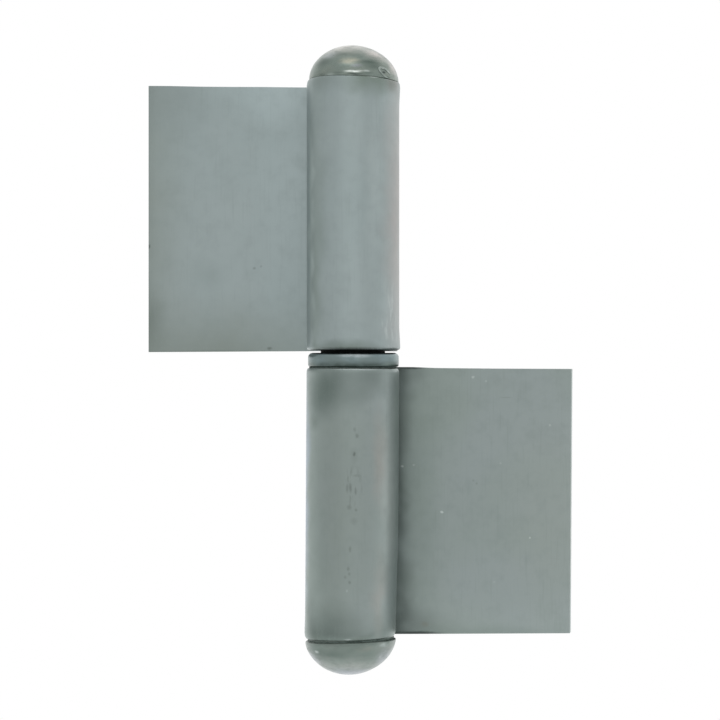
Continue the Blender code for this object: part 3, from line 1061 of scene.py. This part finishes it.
# %% Door leaf
DOOR_PATCHES = [
    # On the leaf: darker, more olive edges, and painted light near the barrel and along the top.
    ("858E89", (-54, FACE, 30), (20, 8, 70), 0.95),
    ("808A88", (-50, FACE, 61), (26, 8, 16), 0.6),
    ("7D8680", (-34, FACE, -2), (42, 6, 20), 0.9),
    ("6B756F", (-50, FACE, 9), (9, 6, 12), 0.65),
    ("9CA8A9", (-15, FACE, 38), (14, 6, 40), 0.5),
    ("A0ADAE", (-18, FACE, 62), (20, 6, 12), 0.85),
    # On the barrel: painted light and shade across its width, a warm tint on the right edge as
    # painted reflection, and painted shade near the cap and the ring.
    ("98A4A4", (-1.5, -10.3, 30), (5.5, 9, 42), 0.6),
    ("838F8C", (-7, -7.5, 32), (4, 6, 60), 0.75),
    ("A3AFAD", (-10.4, 0.5, 32), (2.2, 6, 60), 0.9),
    ("707C74", (5, -8.6, 62.2), (8.2, 9, 4.8), 1),
    ("7D8885", (-5, -8, 62.5), (9, 9, 4.5), 0.85),
    ("6C7872", (-0.5, -9.3, 2.2), (13, 8, 2.5), 0.8),
    ("918F8D", (10, -2, 32), (5, 9, 50), 0.9),
    ("7D7F7A", (9.8, -3.5, 62.5), (3, 5, 5), 0.75),
    ("76827D", (-7.1, -7.5, 14), (2.6, 3.2, 24), 0.5),
    ("A8B4B1", (-8.6, -5.8, 33), (1.9, 2.8, 46), 0.75),
    ("7F8A88", (-9.3, -4.2, 61.5), (2.4, 4, 2.6), 0.7),
    ("767A75", (8.7, -5.5, 61.2), (2.6, 3.6, 2.8), 0.75),
    ("A6B0B0", (6, -8.4, 36), (2.4, 3.5, 26), 0.45),
    ("84908E", (-34.5, FACE, 19.5), (7, 6, 5.5), 0.4),
    ("6C7872", (-7.4, -7.2, 3.2), (2.4, 3, 2), 0.5),
]
DOOR_MARKS = [
    (STREAK, (-23.6, FACE, 20.7), (0.55, 0.6, 0.48), 0.42),
    (STREAK, (-22.1, FACE, 21.1), (0.42, 0.6, 0.4), 0.3),
    (STREAK, (-20.1, FACE, 2.6), (0.8, 1.6, 0.5), 0.7),
    (SHADE_AND_GRIME, (-47.9, FACE, 25.7), (0.5, 2, 0.9), 0.7),
    # A painted highlight on the barrel's top edge, a darker band along the leaf's lower edge, and a
    # near-black band round the barrel's foot above the ring.
    ("D0D8D5", (6.2, -7.95, 62.17), (2.8, 2.2, 0.42), 0.66),
    ("6B756F", (-30, FACE, 1.9), (28, 3, 0.5), 0.5),
    ("141917", (0.8, -6.5, 2.05), (17, 17, 1.05), 0.92),
]
door_finish = rolled_steel(
    "rolled_steel_door_leaf", "909C9C", "949F9F", "848F8D", (0.051, 0.020, 0.007),
    DOOR_PATCHES, DOOR_MARKS,
    breakup=("B4BDBD", (9.3, -4.8, 9.0), (3.6, 5.0, 11.0), 0.40),
)
dress(door_leaf, door_finish)
print("door leaf", len(DOOR_PATCHES), "patches,", len(DOOR_MARKS), "marks")

# %% [markdown]
# ## Turned steel
# Ring, pin and caps are turned, so fine grooves run round them and they shine more than the
# sheet. The caps carry a thin olive and brown film from heat and handling. Patches on the caps and
# the ring also paint light and shade: pale crowns, bright lines and dark bands as painted
# reflections and highlights, and painted shade in the seams and on the ring's lower half. Grooves
# are drawn 0.35 mm apart, coarser than a real tool leaves, so they show.

# %% Turned steel
GROOVE_MM = 0.35
# Blender's wave bands repeat every 0.314 units at a scale of 1.
WAVE_REPEAT = 0.314


def turned_steel(name, plain, film, dark, roughness, patches=(), wander=2.4):
    """Turned steel: grooves round the axis, a patchy film, and patches, many of them painted light
    and shade.
    """
    material, tree, shader, where = blank_finish(name)
    film_patches = noise_at(tree, where, 5.0, detail=2.0, stretch=(1.0, 1.0, 1.6))
    dark_patches = noise_at(tree, where, 2.6, stretch=(1.0, 1.0, 2.4))
    flecks = noise_at(tree, where, 0.8)
    scale = WAVE_REPEAT / (GROOVE_MM * MM)
    grooves = add(
        tree, "TexWave", {"Vector": where, "Scale": scale, "Distortion": 0.8, "Detail": 2.0},
        wave_type="BANDS", bands_direction="Z",
    )
    colour = tint(tree, linear(plain), film_patches, 0.4, 0.6, 1.0, linear(film))
    colour = paint(tree, colour, wandering(tree, where, 3.0, wander), patches)
    colour = tint(tree, colour, dark_patches, 0.5, 0.72, 0.6, linear(dark))
    colour = tint(tree, colour, flecks, 0.50, 0.75, 0.20, linear(dark))
    surface(tree, shader, colour, dark_patches, roughness - 0.05, roughness + 0.07)
    shader.inputs["Metallic"].default_value = 1.0
    bump = add(
        tree, "Bump",
        {"Height": grooves.outputs["Fac"], "Strength": 0.08, "Distance": RELIEF},
    )
    tree.links.new(bump.outputs["Normal"], shader.inputs["Normal"])
    return material


UPPER_CAP_PATCHES = [
    # Film and painted reflections on the dome: a pale crown, a brown patch at the upper right, a
    # cream patch as painted reflection of the top soft box, and dark bands across the dome.
    ("B2B0AB", (-1.5, -3, 70), (11, 11, 4), 0.9),
    ("B0ABA7", (6.3, -4.2, 67.6), (4.8, 5, 2.6), 0.9),
    ("9DA2A4", (-4.4, -5.8, 67.2), (3.2, 3, 1.4), 0.7),
    ("666F69", (-1, -6, 67.1), (5, 3, 0.8), 0.7),
    ("55605B", (-6, -6.5, 65.6), (3.6, 4, 1.9), 0.8),
    ("A39C8A", (0.4, -7.6, 65.5), (3.3, 3, 1.2), 0.85),
    ("525E58", (4.9, -7.4, 65.3), (4.4, 3.5, 0.9), 0.9),
    ("5C6862", (5.9, -7.4, 64.4), (3.6, 3.5, 1.25), 0.85),
    # Round the rim: painted shade in the seam, a bright line with a second one beside it as painted
    # highlights, painted dark bands under them, a painted lighter right edge, and painted shade
    # under and inside the curl.
    ("4C5652", (-5.9, -7.8, 62.75), (1.9, 2.5, 0.5), 0.5),
    ("98A29D", (-3.7, -9.2, 62.55), (1.6, 1.6, 0.55), 0.75),
    ("E6ECE8", (1.6, -9.65, 63.26), (2.9, 1.6, 0.38), 0.95),
    ("D8E0DC", (4.3, -8.75, 63.28), (1, 1.3, 0.4), 0.66),
    ("8B8E94", (2.2, -8.9, 64.5), (1.9, 2, 0.6), 0.6),
    ("B5AFAB", (9.4, -1.5, 65), (2.3, 3.6, 3.4), 0.8),
    ("3E4643", (1.9, -9.55, 62.64), (3.3, 2.6, 0.38), 0.95),
    ("5A6560", (-1.7, -9.6, 62.95), (2, 2.6, 0.34), 0.55),
    ("5A6560", (4.7, -8.6, 62.95), (2, 2.4, 0.34), 0.45),
    ("3A4440", (8.15, -5.6, 62.2), (1.5, 2, 0.5), 0.85),
    ("8A8D88", (9.2, -3, 63.6), (1.3, 2.4, 1.1), 0.7),
    ("20262A", (7.7, -5.95, 63.24), (0.9, 0.9, 0.44), 0.95),
]
SWARF_HIGHLIGHTS = [
    # Painted highlights on the top and right of the curl.
    ("E4EAE6", (8.3, -5.3, 63.15), (1.2, 1.2, 0.7), 0.9),
    ("CFD6D2", (7.3, -6.3, 63.65), (1.1, 1.1, 0.7), 0.8),
]
LOWER_CAP_PATCHES = [
    # Painted shade and reflection on the lower dome: darker near the seam, paler and bluer towards
    # its lowest point as painted reflection of the light table, and a pale patch by the rim at the
    # right as painted highlight. A pinkish patch is film, and the two small pale specks are marks.
    ("6C7872", (0, -9, -63), (12, 12, 2.6), 0.7),
    ("59645F", (-3.1, -8.4, -64.4), (7, 4.5, 1.9), 0.9),
    ("66716C", (4.2, -7.8, -64.6), (6.2, 4.5, 2.3), 0.85),
    ("6A7571", (-7.6, -5.2, -63.6), (2.8, 3.4, 1.8), 0.6),
    ("9096A0", (0, -3, -70), (9, 9, 3.6), 0.7),
    ("8A9096", (-8, -3, -66), (4, 5, 2.8), 0.7),
    ("8A9096", (8, -3, -66), (4, 5, 3.5), 0.7),
    ("7C7A72", (3.9, -8.8, -63.3), (3.5, 3, 1), 0.3),
    ("56615C", (-6.4, -6.9, -64.6), (3.1, 3.2, 2.3), 0.75),
    ("9A9D9A", (0, -6.5, -67.4), (8.5, 5, 1.7), 0.45),
    ("9CA6A4", (7.8, -5.8, -62.6), (1.9, 2.6, 0.9), 0.6),
    ("5F6A65", (-7.1, -7, -62.8), (2.4, 2.6, 1), 0.5),
    ("646F6A", (1.2, -9.3, -63.5), (4.8, 2.5, 1.1), 0.5),
    ("67726D", (-7, -5.8, -65.2), (1.6, 2, 0.9), 0.5),
    ("B4BCB9", (-6.9, -7, -64.4), (1.1, 1.2, 0.66), 0.6),
    ("A9AEAC", (6.9, -5, -65.8), (0.7, 1, 0.6), 0.55),
]
RING_PATCHES = [
    # A painted highlight on the upper rim, painted shade over the lower half, and a lighter patch
    # at the right.
    ("A9B2B4", (2.2, -9.8, 1.05), (5.2, 3, 0.8), 0.95),
    ("3C4742", (0, 0, -1.5), (40, 40, 1.7), 1),
    ("7A8783", (8.8, -4.8, -1.1), (2.2, 3.4, 1.1), 0.7),
]
upper_finish = turned_steel(
    "turned_steel_upper_cap", "77827C", "7B847D", "65716B", 0.30, UPPER_CAP_PATCHES, wander=0.6
)
swarf_finish = turned_steel(
    "bright_swarf", "8C9691", "87918C", "77827D", 0.28, SWARF_HIGHLIGHTS, wander=0.4
)
lower_finish = turned_steel(
    "turned_steel_lower_cap", "737D78", "777E7A", "67716C", 0.36, LOWER_CAP_PATCHES, wander=1.6
)
ring_finish = turned_steel(
    "turned_steel_ring", "748281", "778688", "697775", 0.34, RING_PATCHES, wander=0.5
)
pin_finish = turned_steel("oiled_pin_steel", "5E6563", "595C57", "3C423F", 0.30)
FINISHES = [
    (upper_cap, upper_finish), (curl, swarf_finish), (lower_cap, lower_finish),
    (ring, ring_finish), (pin, pin_finish),
]
for piece, material in FINISHES:
    dress(piece, material)
print("finishes", [material.name for piece, material in FINISHES])

# %% [markdown]
# ## Dark fills
# All three fills are dark and hardly shine. The near-black collar is painted shade for the deep
# groove above the ring. Their specular level is turned well down, since even a weak mirror of the
# white studio would grey the collar in the groove. The thin film under the ring is greyer, with a
# little paler noise, and the fill in the lower seam is a little greyer still.

# %% Dark fills
def dark_matte(name, dark, dusty):
    """A dark fill: nearly no shine, and a little paler noise."""
    material, tree, shader, where = blank_finish(name)
    dust = noise_at(tree, where, 1.2)
    colour = tint(tree, linear(dark), dust, 0.4, 0.7, 1.0, linear(dusty))
    surface(tree, shader, colour, dust, 0.55, 0.8)
    shader.inputs["Specular IOR Level"].default_value = 0.12
    return material


# Painted shade: the near-black collar in the groove above the ring.
dress(collar, dark_matte("groove_shade_black", "0B0F0D", "1E2421"))
dress(seat_film, dark_matte("seat_film_and_shade", "3A4440", "535E59"))
dress(seam_dark_fill, dark_matte("dark_seam_fill", "404B46", "5E6A65"))
print("dark_fills", seat_film.name, collar.name, seam_dark_fill.name)
